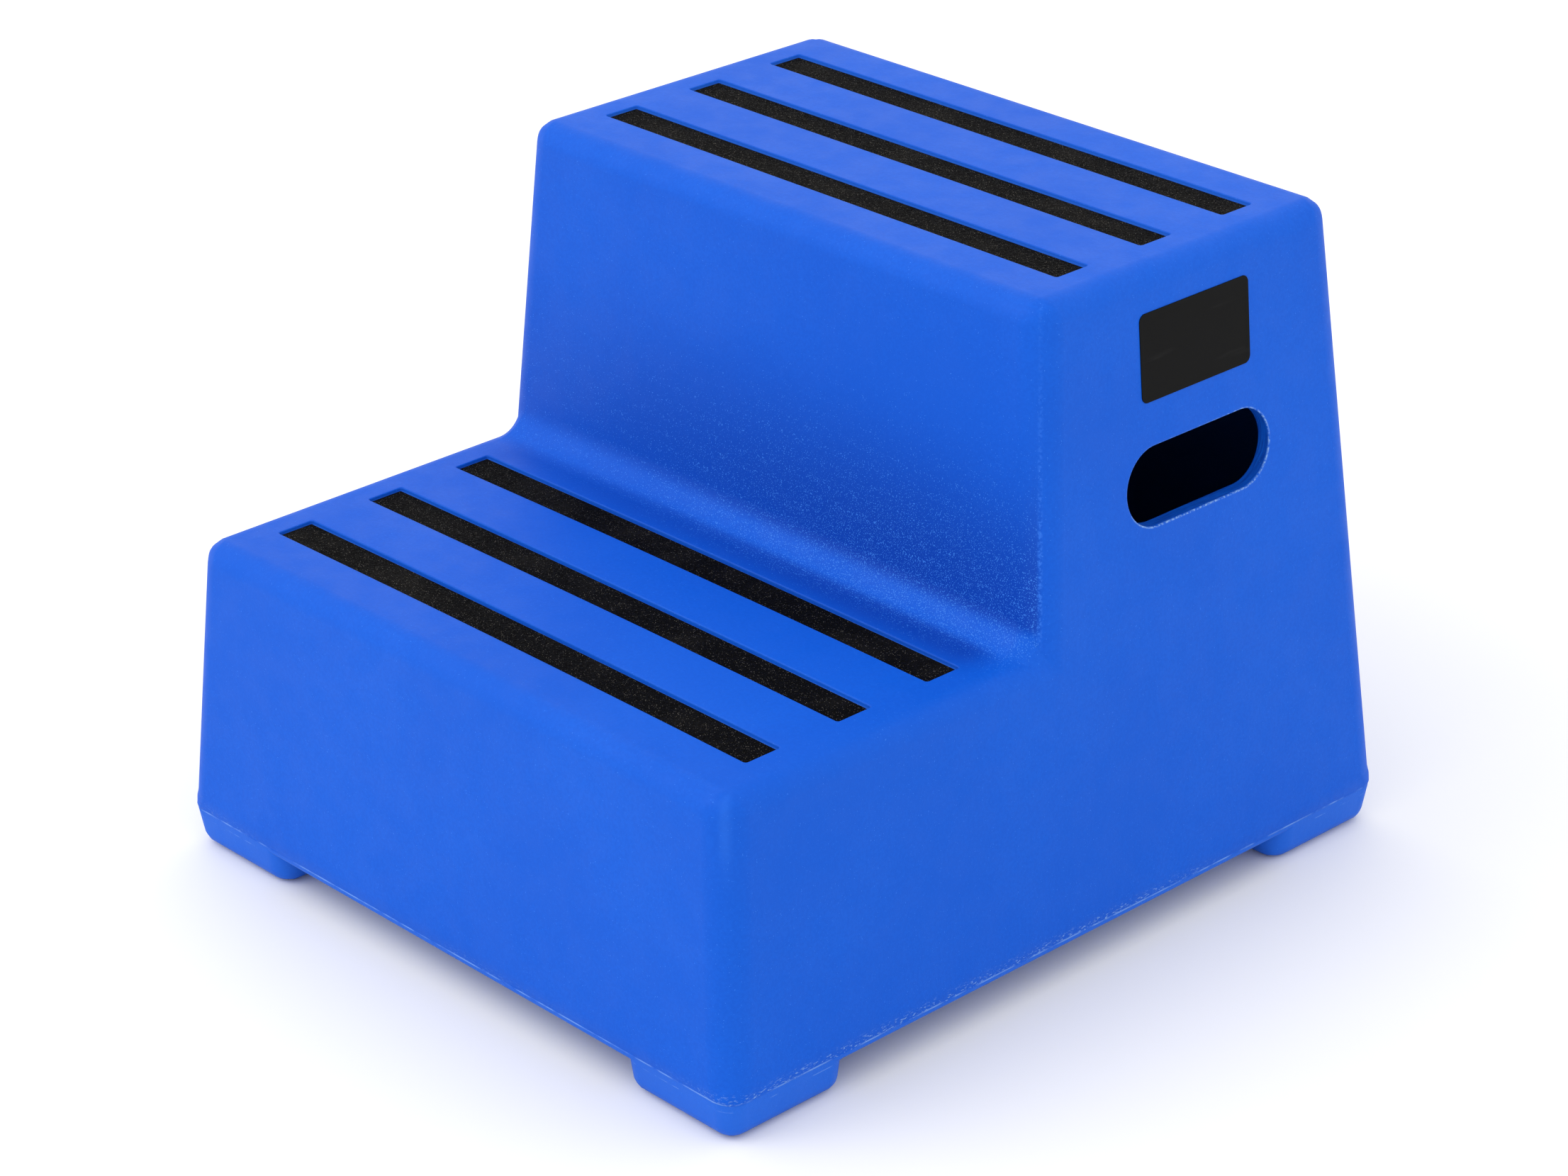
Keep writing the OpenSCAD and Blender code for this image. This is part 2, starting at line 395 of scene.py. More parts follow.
def raise_steps(obj, form):
    """Cuts the top at the riser, lifts the rear part and leans every wall."""
    low, top = form.low, form.top
    half, back = form.s.width / 2 - form.inset, form.s.depth / 2 - form.inset
    riser = form.riser(low)
    edit_mode(obj)
    pick(obj, "faces", lambda f: f.normal.z > FACES_UP)
    bpy.ops.mesh.bisect(plane_co=(0, riser, low), plane_no=(0, 1, 0))
    pick(obj, "faces", lambda f: f.normal.z > FACES_UP and f.calc_center_median().y > riser)
    extrude_up(top - low)
    rows = (
        (low, -back, form.front(low)),
        (low, riser, riser),
        (low, back, form.rear(low)),
        (top, riser, form.riser(top)),
        (top, back, form.rear(top)),
    )
    for z, y, new_y in rows:
        for sign in (-1, 1):
            here = Vector((sign * half, y, z))
            shift = Vector((sign * form.side(z), new_y, z)) - here
            move_vertices(obj, lambda v: (v.co - here).length < SLACK, shift)

    def is_leftover(edge):
        """True for the flat edges at the lower tread's height on the sides and the rear."""
        behind = all(near(v.co.z, low, PLANE_SLACK) and v.co.y > riser - SLACK for v in edge.verts)
        return behind and max(v.co.y for v in edge.verts) > riser + SLACK

    pick(obj, "edges", is_leftover)
    bpy.ops.mesh.dissolve_edges(use_verts=True)
    object_mode()


def pull_down_lip(obj, form):
    """Extrudes the base down through the parting line to the underside."""
    half, back = form.s.width / 2, form.s.depth / 2
    levels = [form.under] if form.inset else [form.s.part_height, form.under]

    def is_base(face):
        return face.normal.z < -FACES_UP and near(face.calc_center_median().z, z, PLANE_SLACK)

    edit_mode(obj)
    z, inside = form.s.hip_height, form.inset
    for next_z in levels:
        pick(obj, "faces", is_base)
        extrude_up(next_z - z)
        z, was, inside = next_z, inside, form.lip(next_z)
        factors = ((half - inside) / (half - was), (back - inside) / (back - was), 1)
        bpy.ops.transform.resize(value=factors, center_override=(0, 0, z))
    object_mode()


def pull_down_feet(obj, form):
    """Cuts the underside into nine and extrudes its four corners down to the floor."""
    top, bottom = form.under, form.bottom
    halves = (form.s.width / 2, form.s.depth / 2)
    inner = [form.foot_inner(half, top) for half in halves]
    lean = form.foot_inner(halves[0], bottom) - inner[0]
    taper = form.lip(bottom) - form.lip(top)
    edit_mode(obj)
    for sign in (-1, 1):
        for axis, normal in enumerate(((1, 0, 0), (0, 1, 0))):
            pick(obj, "faces", lambda f: f.normal.z < -FACES_UP)
            bpy.ops.mesh.bisect(plane_co=[sign * inner[axis] * n for n in normal], plane_no=normal)

    def is_corner(face):
        centre = face.calc_center_median()
        beyond = abs(centre.x) > inner[0] and abs(centre.y) > inner[1]
        return face.normal.z < -FACES_UP and beyond

    pick(obj, "faces", is_corner)
    extrude_up(bottom - top)
    for sign in (-1, 1):
        for axis in (0, 1):
            middle = inner[axis] + form.s.foot_length / 2
            for is_outer, step in ((True, -taper), (False, lean)):
                offset = [0, 0, 0]
                offset[axis] = sign * step

                def on_this_side(v):
                    reach = sign * v.co[axis]
                    at_bottom = near(v.co.z, bottom, PLANE_SLACK)
                    return at_bottom and reach > 0 and (reach > middle) == is_outer

                move_vertices(obj, on_this_side, offset)
    object_mode()


def crisp_form(name, form):
    """The whole form with sharp edges, as a closed mesh."""
    s = form.s
    height = form.low - s.hip_height
    obj = add_block(name, (0, 0, s.hip_height + height / 2),
                    (s.width - 2 * form.inset, s.depth - 2 * form.inset, height))
    raise_steps(obj, form)
    pull_down_lip(obj, form)
    pull_down_feet(obj, form)
    return obj


def edge_radius(edge, form):
    """The rounding that one edge of the crisp form gets."""
    s, inset = form.s, form.inset
    a, b = (v.co for v in edge.verts)
    middle = (a + b) / 2
    z_low, z_high = sorted((a.z, b.z))
    if z_high - z_low > PLANE_SLACK:
        if z_low > s.hip_height - PLANE_SLACK:
            return s.corner_radius - inset
        half_foot = s.foot_length / 2
        is_outer = (abs(middle.x) > form.foot_inner(s.width / 2, middle.z) + half_foot
                    and abs(middle.y) > form.foot_inner(s.depth / 2, middle.z) + half_foot)
        return s.lip_corner_radius - inset if is_outer else s.foot_corner_radius - inset / 2
    if near(z_low, form.low, PLANE_SLACK):
        is_root = near(a.y, form.riser(form.low), PLANE_SLACK) and near(b.y, a.y, PLANE_SLACK)
        return s.root_radius + inset if is_root else s.tread_radius - inset
    if near(z_low, form.top, PLANE_SLACK):
        return s.tread_radius - inset
    if near(z_low, s.hip_height, PLANE_SLACK):
        return s.hip_radius / 2 if inset else s.hip_radius
    if near(z_low, s.part_height, PLANE_SLACK):
        return s.flash_band
    if near(z_low, form.bottom, PLANE_SLACK):
        return max(s.foot_edge_radius - inset, LEAST_RADIUS)
    if near(z_low, form.under, PLANE_SLACK):
        if edge.calc_face_angle(0.0) < FLAT_ANGLE:
            return 0.0
        on_rim = (abs(middle.x) > s.width / 2 - form.lip(form.under) - PLANE_SLACK
                  or abs(middle.y) > s.depth / 2 - form.lip(form.under) - PLANE_SLACK)
        rim = s.under_radius / 2 if inset else s.under_radius
        return rim if on_rim else s.foot_root_radius + inset
    return 0.0


def round_form(obj, form):
    """Rounds the crisp form's edges, each by its own radius, in one bevel."""
    edit_mode(obj)
    mesh = bmesh.from_edit_mesh(obj.data)
    layer = mesh.edges.layers.float.get(WEIGHT_LAYER) or mesh.edges.layers.float.new(WEIGHT_LAYER)
    widest = form.s.root_radius + form.inset
    for edge in mesh.edges:
        edge[layer] = edge_radius(edge, form) / widest
    bmesh.update_edit_mesh(obj.data)
    object_mode()
    bevel = obj.modifiers.new("Rounding", "BEVEL")
    bevel.limit_method = "WEIGHT"
    bevel.width = widest
    bevel.segments = form.s.segments
    bevel.use_clamp_overlap = False
    apply_modifier(obj, bevel)


def slice_across(obj, form):
    """Cuts the form into cross sections, so that the crown can bend it."""
    count = int(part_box(TOP_STRIPS[0])[1].x / form.s.slice)
    edit_mode(obj)
    for step in range(-count, count):
        bpy.ops.mesh.select_all(action="SELECT")
        bpy.ops.mesh.bisect(plane_co=((step + 0.5) * form.s.slice, 0, 0), plane_no=(1, 0, 0))
    object_mode()


def recess_outline(node, cuts, grow):
    """Half length, front, back and floor of the recess that holds a strip."""
    low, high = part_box(node)
    return (high.x + cuts.end_gap + grow, low.y - cuts.side_gap - grow,
            high.y + cuts.side_gap + grow, low.z - grow)


def sink_recesses(obj, form, cuts, nodes, tread_z):
    """Cuts the recess outlines into a tread and pushes them down, with soft rims."""
    grow = form.inset
    corner = cuts.recess_corner + grow
    outlines = [recess_outline(node, cuts, grow) for node in nodes]
    half, floor = outlines[0][0], outlines[0][3]

    def on_tread(face):
        height = face.calc_center_median().z
        return face.normal.z > NEARLY_LEVEL and near(height, tread_z, PLANE_SLACK)

    def inside(point, outline, margin):
        return abs(point.x) < half + margin and outline[1] - margin < point.y < outline[2] + margin

    edit_mode(obj)
    planes = [((sign * half, 0, 0), (1, 0, 0)) for sign in (-1, 1)]
    planes += [((0, y, 0), (0, 1, 0)) for outline in outlines for y in outline[1:3]]
    for place, normal in planes:
        pick(obj, "faces", on_tread)
        bpy.ops.mesh.bisect(plane_co=place, plane_no=normal)
    for outline in outlines:
        pick(obj, "faces", lambda f: on_tread(f) and inside(f.calc_center_median(), outline, 0))
        extrude_up(floor - tread_z)

        def is_corner(edge):
            upright = abs(edge.verts[0].co.z - edge.verts[1].co.z) > (tread_z - floor) / 2
            return upright and all(
                near(abs(v.co.x), half, PLANE_SLACK)
                and any(near(v.co.y, y, PLANE_SLACK) for y in outline[1:3]) for v in edge.verts)

        pick(obj, "edges", is_corner)
        bevel_edges(corner, CORNER_SEGMENTS)
        for level, radius, segments in ((tread_z, cuts.recess_rim, RIM_SEGMENTS),
                                        (floor, cuts.recess_root, ROOT_SEGMENTS)):

            def borders_wall(edge):
                flat = all(near(v.co.z, level, PLANE_SLACK) for v in edge.verts)
                here = all(inside(v.co, outline, PLANE_SLACK) for v in edge.verts)
                upright = any(abs(f.normal.z) < NEARLY_UPRIGHT for f in edge.link_faces)
                return flat and here and upright

            pick(obj, "edges", borders_wall)
            bevel_edges(radius, segments)
    object_mode()


def crown_rise(point, s):
    """How far the lower tread is bowed up at a point."""
    across = 1 - (2 * point.x / s.width) ** 2
    below = smooth_step(s.low_height - s.crown_fade, s.low_height - s.tread_radius, point.z)
    above = 1 - smooth_step(s.low_height + s.root_radius, s.low_height + s.crown_fade, point.z)
    return s.crown * max(across, 0.0) * below * above


def bow(obj, s):
    """Bends a piece with the lower tread's crown."""
    for vertex in obj.data.vertices:
        vertex.co.z += crown_rise(vertex.co, s)


def raise_flash(obj, s):
    """Pushes the parting line out into a thin trimmed ridge of uneven height."""
    least, spread, bumps_per_metre, steepest = 0.75, 0.5, 40, 0.8
    edit_mode(obj)
    mesh = bmesh.from_edit_mesh(obj.data)
    mesh.normal_update()
    for vertex in mesh.verts:
        share = 1 - abs(vertex.co.z - s.part_height) / (s.flash_band / 2)
        if share > 0 and abs(vertex.normal.z) < steepest:
            out = Vector((vertex.normal.x, vertex.normal.y, 0)).normalized()
            uneven = least + spread * noise.noise(vertex.co * bumps_per_metre)
            vertex.co += out * s.flash * share * uneven
    bmesh.update_edit_mesh(obj.data)
    object_mode()


def slot_straight(cuts):
    """Half length of a hand slot's straight part."""
    return (cuts.slot_length - cuts.slot_height) / 2


def slot_bar(cuts, reach, margin=0.0):
    """A full-round bar along X through both hand slots, split in the middle and drawn apart."""
    straight = slot_straight(cuts)
    cutter = add_cylinder(BAR_SIDES, cuts.slot_height / 2 + margin, 2 * reach,
                          (0, SLOT_PLACE.y, SLOT_PLACE.z), (0, math.pi / 2, 0))
    edit_mode(cutter)
    bpy.ops.mesh.select_all(action="SELECT")
    bpy.ops.mesh.bisect(plane_co=SLOT_PLACE, plane_no=(0, 1, 0))
    object_mode()
    for vertex in cutter.data.vertices:
        side = vertex.co.y - SLOT_PLACE.y
        if abs(side) > SLACK:
            vertex.co.y += math.copysign(straight, side)
    return cutter


def thicken_around_slots(cavity, form, cuts):
    """Takes a bar off each side of the cavity, which leaves thicker plastic around the slots."""
    for sign in (-1, 1):
        bar = slot_bar(cuts, form.s.width / 4, cuts.slot_margin)
        for vertex in bar.data.vertices:
            wall = form.side(vertex.co.z) - cuts.slot_wall
            vertex.co.x = sign * (wall if sign * vertex.co.x < 0 else form.s.width)
        cut_away(cavity, bar)


def round_slot_rims(obj, form, cuts):
    """Rounds the slots' edges on the outer walls, and says how many it found."""
    slack = 2 * PLANE_SLACK

    def on_outline(place):
        side = max(abs(place.y - SLOT_PLACE.y) - slot_straight(cuts), 0)
        return near(math.hypot(side, place.z - SLOT_PLACE.z), cuts.slot_height / 2, slack)

    def on_wall(place):
        return near(abs(place.x), form.side(place.z), slack)

    def is_rim(edge):
        placed = all(on_wall(v.co) and on_outline(v.co) for v in edge.verts)
        return placed and edge.calc_face_angle(0.0) > SHARP_ANGLE

    edit_mode(obj)
    found = pick(obj, "edges", is_rim)
    bevel_edges(cuts.slot_rim, RIM_SEGMENTS)
    object_mode()
    return found


def pad_disc(node, radius, low, high):
    """A disc at one foot pad's place."""
    centre = sum(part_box(node), Vector()) / 2
    return add_cylinder(DISC_SIDES, radius, high - low, (centre.x, centre.y, (low + high) / 2))


class MOUNTING_BLOCK_OT_body(bpy.types.Operator):
    """Model the hollow moulding with its recesses, hand slots and feet"""

    bl_idname = "mounting_block.body"
    bl_label = "Body"

    def execute(self, context):
        s, cuts = context.scene.block_body, context.scene.block_cuts
        outer, inner = Form(s), Form(s, s.wall)
        shells = []
        for name, form in (("moulded_body", outer), ("moulded_cavity", inner)):
            shell = crisp_form(name, form)
            round_form(shell, form)
            slice_across(shell, form)
            sink_recesses(shell, form, cuts, LOW_STRIPS, form.low)
            sink_recesses(shell, form, cuts, TOP_STRIPS, form.top)
            bow(shell, s)
            shells.append(shell)
        body, cavity = shells
        mark_faces(body, INSIDE_LAYER, 0.0)
        mark_faces(cavity, INSIDE_LAYER, 1.0)
        raise_flash(body, s)
        pad_low, pad_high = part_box(FOOT_PADS[0])
        socket = (pad_high.x - pad_low.x) / 2 + cuts.socket_gap
        for node in FOOT_PADS:
            cut_away(cavity, pad_disc(node, socket + s.wall, 0, pad_high.z + s.wall))
        thicken_around_slots(cavity, outer, cuts)
        cut_away(body, cavity)
        for node in FOOT_PADS:
            cut_away(body, pad_disc(node, socket, -s.wall, pad_high.z))
        cut_away(body, slot_bar(cuts, s.width))
        if not round_slot_rims(body, outer, cuts):
            raise RuntimeError("no edges were found along the hand slots")
        finish_shading(body, degrees=40)
        body.data.materials.append(polyethylene(context.scene.block_finish, s, cuts))
        settle(body, ["body_shell"])
        return {"FINISHED"}


# The strips, the label and the foot pads


def gritty_strip(name, node, trim):
    """A strip of tape over a node's box, with clusters of grit on its upper face."""
    low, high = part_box(node)
    size = high - low
    centre = (low + high) / 2
    bpy.ops.object.select_all(action="DESELECT")
    bpy.ops.mesh.primitive_grid_add(x_subdivisions=round(size.x / trim.strip_cell),
                                    y_subdivisions=round(size.y / trim.strip_cell), size=1,
                                    location=(centre.x, centre.y, low.z))
    strip = bpy.context.object
    strip.name = name
    strip.scale = (size.x, size.y, 1)
    apply_transform()
    edit_mode(strip)
    bpy.ops.mesh.select_all(action="SELECT")
    extrude_up(size.z)
    bpy.ops.mesh.select_all(action="SELECT")
    bpy.ops.mesh.normals_make_consistent()

    def is_corner(edge):
        upright = abs(edge.verts[0].co.z - edge.verts[1].co.z) > size.z / 2
        at_end = near(abs(edge.verts[0].co.x), high.x)
        return upright and at_end and any(near(edge.verts[0].co.y, y) for y in (low.y, high.y))

    def is_rim(edge):
        on_top = all(near(v.co.z, high.z) for v in edge.verts)
        return on_top and edge.calc_face_angle(0.0) > SHARP_ANGLE

    pick(strip, "edges", is_corner)
    bevel_edges(trim.strip_corner, RIM_SEGMENTS)
    pick(strip, "edges", is_rim)
    bevel_edges(trim.strip_edge, ROOT_SEGMENTS)
    object_mode()
    roughen(strip, trim, high, trim.strip_cell / 2)
    return strip


def roughen(strip, trim, high, margin):
    """Raises grit on a strip's upper face, away from its edges."""
    front = min(v.co.y for v in strip.data.vertices)

    def is_inner(point):
        return abs(point.x) < high.x - margin and front + margin < point.y < high.y - margin

    inner = [v.index for v in strip.data.vertices if near(v.co.z, high.z) and is_inner(v.co)]
    group = strip.vertex_groups.new(name="grit")
    group.add(inner, 1.0, "REPLACE")
    texture = bpy.data.textures.new("grit", "CLOUDS")
    texture.noise_scale = trim.grit_size
    texture.noise_depth = 3
    texture.contrast = 1.8
    displace = strip.modifiers.new("Grit", "DISPLACE")
    displace.texture = texture
    displace.direction = "Z"
    displace.strength = trim.grit_height
    displace.vertex_group = group.name
    apply_modifier(strip, displace)


class MOUNTING_BLOCK_OT_strips(bpy.types.Operator):
    """Model the six anti-slip strips"""

    bl_idname = "mounting_block.strips"
    bl_label = "Strips"

    def execute(self, context):
        trim = context.scene.block_trim
        finish = grit_tape(context.scene.block_finish)
        for node in LOW_STRIPS + TOP_STRIPS:
            strip = gritty_strip("tape_" + node, node, trim)
            bow(strip, context.scene.block_body)
            finish_shading(strip, degrees=50)
            strip.data.materials.append(finish)
            settle(strip, [node])
        return {"FINISHED"}


class MOUNTING_BLOCK_OT_label(bpy.types.Operator):
    """Model the blank label on the right side"""

    bl_idname = "mounting_block.label"
    bl_label = "Label"

    def execute(self, context):
        trim = context.scene.block_trim
        lean = context.scene.block_body.side_draft
        out = Vector((math.cos(lean), 0, math.sin(lean)))
        centre = sum(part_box("side_label"), Vector()) / 2
        size = (trim.label_thickness, trim.label_length, trim.label_height)
        label = add_block("blank_label", centre, size, (0, -lean, 0))
        edit_mode(label)

        def is_corner(edge):
            along = (edge.verts[1].co - edge.verts[0].co).normalized()
            return abs(along.dot(out)) > NEARLY_LEVEL

        def is_rim(edge):
            faces = [f.normal.dot(out) for f in edge.link_faces]
            return len(faces) == 2 and max(faces) > NEARLY_LEVEL and min(faces) < FACES_UP

        pick(label, "edges", is_corner)
        bevel_edges(trim.label_corner, LABEL_SEGMENTS)
        pick(label, "faces", lambda f: f.normal.dot(out) > NEARLY_LEVEL)
        bpy.ops.mesh.inset(thickness=trim.label_border)
        bpy.ops.mesh.inset(thickness=trim.label_step * 2, depth=-trim.label_step)
        pick(label, "edges", is_rim)
        bevel_edges(trim.label_thickness / 3, RIM_SEGMENTS)
        object_mode()
        finish_shading(label, degrees=30)
        label.data.materials.append(label_film(context.scene.block_finish))
        settle(label, ["side_label"])
        return {"FINISHED"}


class MOUNTING_BLOCK_OT_pads(bpy.types.Operator):
    """Model the rubber pads under the four feet"""

    bl_idname = "mounting_block.pads"
    bl_label = "Foot pads"

    def execute(self, context):
        trim = context.scene.block_trim
        finish = pad_rubber(context.scene.block_finish)
        for node in FOOT_PADS:
            low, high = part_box(node)
            pad = pad_disc(node, (high.x - low.x) / 2, low.z, high.z)
            pad.name = "rubber_" + node
            edit_mode(pad)
            pick(pad, "edges", lambda e: all(near(v.co.z, low.z) for v in e.verts))
            bevel_edges(trim.pad_chamfer, RIM_SEGMENTS)
            pick(pad, "faces", lambda f: f.normal.z < -NEARLY_LEVEL)
            side = trim.groove_width / 4
            for _ in range(trim.groove_count):
                bpy.ops.mesh.inset(thickness=trim.land_width)
                bpy.ops.mesh.inset(thickness=side, depth=-trim.groove_depth)
                bpy.ops.mesh.inset(thickness=trim.groove_width - 2 * side)
                bpy.ops.mesh.inset(thickness=side, depth=trim.groove_depth)
            object_mode()
            finish_shading(pad, degrees=40)
            pad.data.materials.append(finish)
            settle(pad, [node])
        return {"FINISHED"}


# Finishes


class Finish:
    """A procedural material, whose nodes are added from the pattern to the shader."""

    def __init__(self, name):
        self.material = bpy.data.materials.new(name)
        self.material.use_nodes = True
        self.tree = self.material.node_tree
        self.shader = self.tree.nodes["Principled BSDF"]
        self.place = self.node("ShaderNodeTexCoord").outputs["Object"]

    def node(self, kind, **settings):
        made = self.tree.nodes.new(kind)
        for name, value in settings.items():
            setattr(made, name, value)
        return made

    def feed(self, socket, value):
        if isinstance(value, bpy.types.NodeSocket):
            self.tree.links.new(value, socket)
        else:
            socket.default_value = value

    def give(self, **values):
        """Feeds the shader's sockets, written with underscores for spaces."""
        for name, value in values.items():
            self.feed(self.shader.inputs[name.replace("_", " ")], value)

    def math(self, operation, first, second=0.0):
        made = self.node("ShaderNodeMath", operation=operation)
        self.feed(made.inputs[0], first)
        self.feed(made.inputs[1], second)
        return made.outputs[0]

    def plus(self, first, second):
        return self.math("ADD", first, second)

    def minus(self, first, second):
        return self.math("SUBTRACT", first, second)

    def most(self, first, second):
        return self.math("MAXIMUM", first, second)

    def times(self, *values):
        product = values[0]
        for value in values[1:]:
            product = self.math("MULTIPLY", product, value)
        return product

    def ramp(self, value, low, high, at_low=0.0, at_high=1.0):
        """Maps one range of values smoothly onto another."""
        made = self.node("ShaderNodeMapRange", interpolation_type="SMOOTHSTEP")
        for socket, item in zip(made.inputs, (value, low, high, at_low, at_high)):
            self.feed(socket, item)
        return made.outputs[0]

    def fade(self, value, low, high, rest=0.0):
        """Falls smoothly from one to the rest."""
        return self.ramp(value, low, high, 1.0, rest)

    def band(self, value, middle, half, soft):
        """One near a value and zero away from it."""
        away = self.math("ABSOLUTE", self.minus(value, middle))
        return self.fade(away, half, half + soft)

    def patches(self, scale, detail, low, high, at_low=0.0, at_high=1.0):
        """Noise whose middle levels are stretched over a whole range."""
        return self.ramp(self.noise(scale, detail), low, high, at_low, at_high)

    def stretch(self, factors):
        made = self.node("ShaderNodeMapping")
        self.feed(made.inputs["Vector"], self.place)
        self.feed(made.inputs["Scale"], factors)
        return made.outputs[0]

    def noise(self, scale, detail=2.0, place=None):
        made = self.node("ShaderNodeTexNoise")
        self.feed(made.inputs["Vector"], place or self.place)
        self.feed(made.inputs["Scale"], scale)
        self.feed(made.inputs["Detail"], detail)
        return made.outputs["Fac"]

    def cells(self, scale, output="Distance"):
        made = self.node("ShaderNodeTexVoronoi")
        self.feed(made.inputs["Vector"], self.place)
        self.feed(made.inputs["Scale"], scale)
        return made.outputs[output]

    def layer(self, name):
        return self.node("ShaderNodeAttribute", attribute_name=name).outputs["Fac"]

    def mix(self, share, first, second):
        made = self.node("ShaderNodeMix", data_type="RGBA")
        for index, item in ((0, share), (6, first), (7, second)):
            self.feed(made.inputs[index], item)
        return made.outputs[2]

    def bump(self, height, strength, distance, under=None):
        made = self.node("ShaderNodeBump")
        self.feed(made.inputs["Height"], height)
        self.feed(made.inputs["Strength"], strength)
        self.feed(made.inputs["Distance"], distance)
        if under:
            self.feed(made.inputs["Normal"], under)
        return made.outputs[0]

    def axes(self):
        made = self.node("ShaderNodeSeparateXYZ")
        self.feed(made.inputs[0], self.place)
        return made.outputs[0], made.outputs[1], made.outputs[2]


class Polyethylene(Finish):
    """The moulding's plastic, with the distances that place the marks on it."""

    # Where the marks start and end, in metres
    riser_end = (0.0045, 0.0085)
    fleck_foot, fleck_climb, fleck_band = (-0.004, 0.004), (0.02, 0.16), (0.02, 0.02)
    root_climb, root_band = (0.03, 0.15), (0.016, 0.006)
    tread_reach, tread_band, tread_end = -0.055, (0.004, 0.002), (0.010, 0.045)
    line_band, second_drop, second_band = (0.0004, 0.0005), 0.0055, (0.0001, 0.0004)
    scuff_foot, scuff_climb, scuff_side = (-0.0012, 0.0), (0.0015, 0.009), (0.05, 0.012)
    below_line = (-0.0012, -0.0002)
    burr_band, burr_depth, burr_turn = (0.0004, 0.0002, 0.0008), (0.0004, 0.0012), (0.0, 0.03)
    cut_start, cut_end = (0.0008, 0.0014), (0.012, 0.013)
    cut_rim, cut_middle = (0.0004, 0.0012), (0.0, 0.02)
    corner_reach, front_width, front_climb = (0.008, 0.014), 0.009, (-0.09, -0.01)
    riser_width, riser_climb, riser_fade = 0.0035, (0.0, 0.02), (0.02, 0.2)
    recess_slack, recess_floor, recess_top = 0.0005, (0.0006, 0.0002), (0.0007, 0.0006)

    # Parts of the root fillet's radius where the painted shade starts, and where it is full
    root_start, riser_full, tread_full = 0.45, 0.9, 0.8

    # How strong a mark is at its weakest place, and at most where that is less than one
    left_share, scuff_left, burr_top, riser_top = 0.35, 0.35, 0.25, 0.25
    front_share, below_share, cut_share = 0.32, 0.45, 0.8
    line_share, scuff_share, second_share = 0.5, 0.75, 0.35

    # Noise levels above which flecks show, and how much lower they are where flecks are dense
    fleck_level, fleck_drop, fleck_soft = 0.78, 0.17, 0.08

    def __init__(self, s, cuts):
        super().__init__("blue_polyethylene")
        self.s, self.cuts = s, cuts
        self.x, self.y, self.z = self.axes()
        self.above = self.minus(self.z, s.low_height)
        self.behind = self.minus(self.y, -s.depth / 2 + s.low_run)
        over_hip = self.minus(self.z, s.hip_height)
        side = self.minus(s.width / 2, self.times(over_hip, math.tan(s.side_draft)))
        self.from_side = self.minus(side, self.math("ABSOLUTE", self.x))
        front = self.times(over_hip, math.tan(s.front_draft))
        self.from_front = self.minus(self.plus(self.y, s.depth / 2), front)
        riser = self.times(self.above, math.tan(s.riser_draft))
        self.from_riser = self.minus(self.behind, riser)
        self.rightward = self.ramp(self.x, -s.width / 2, s.width / 4, self.left_share)
        self.on_riser = self.ramp(self.from_side, *self.riser_end)

    def flecks(self):
        """Pale flecks everywhere, far more of them low on the riser and to its right."""
        dense = self.times(self.fade(self.above, *self.fleck_climb),
                           self.ramp(self.above, *self.fleck_foot),
                           self.band(self.behind, 0.0, *self.fleck_band),
                           self.on_riser, self.rightward)
        level = self.minus(self.fleck_level, self.times(dense, self.fleck_drop))
        return self.ramp(self.noise(1250, 0.0), level, self.plus(level, self.fleck_soft))

    def painted_root_shade(self):
        """Painted shade beside the root fillet, fading up the riser and forward over the tread,
        stronger to the right.
        """
        radius = self.s.root_radius
        start = self.root_start * radius
        up_riser = self.times(self.ramp(self.above, start, self.riser_full * radius),
                              self.fade(self.above, *self.root_climb),
                              self.band(self.behind, 0.0, *self.root_band))
        over_tread = self.times(self.ramp(self.behind, self.tread_reach, -radius),
                                self.fade(self.behind, -self.tread_full * radius, -start),
                                self.band(self.above, 0.0, *self.tread_band),
                                self.ramp(self.from_side, *self.tread_end))
        return self.times(self.most(up_riser, over_tread), self.rightward, self.on_riser)

    def parting_marks(self):
        """The broken pale lines with their scuffs, the scuffs alone, and what lies below."""
        up = self.minus(self.z, self.s.part_height)
        line = self.times(self.band(up, 0.0, *self.line_band),
                          self.patches(60, 3.0, 0.36, 0.62))
        second = self.times(self.band(up, -self.second_drop, *self.second_band),
                            self.patches(70, 4.0, 0.5, 0.62))
        scratches = self.noise(360, 4.0, self.stretch((1.0, 1.0, 2.5)))
        inner, outer = (self.s.width / 2 - reach for reach in self.scuff_side)
        scuffs = self.times(self.ramp(up, *self.scuff_foot), self.fade(up, *self.scuff_climb),
                            self.ramp(scratches, 0.54, 0.68), self.patches(5.0, 2.0, 0.40, 0.58),
                            self.ramp(self.x, inner, outer, self.scuff_left))
        marks = self.most(self.times(line, self.line_share), self.times(scuffs, self.scuff_share))
        marks = self.most(marks, self.times(second, self.second_share))
        return marks, scuffs, self.ramp(up, *self.below_line, self.below_share, 0.0)

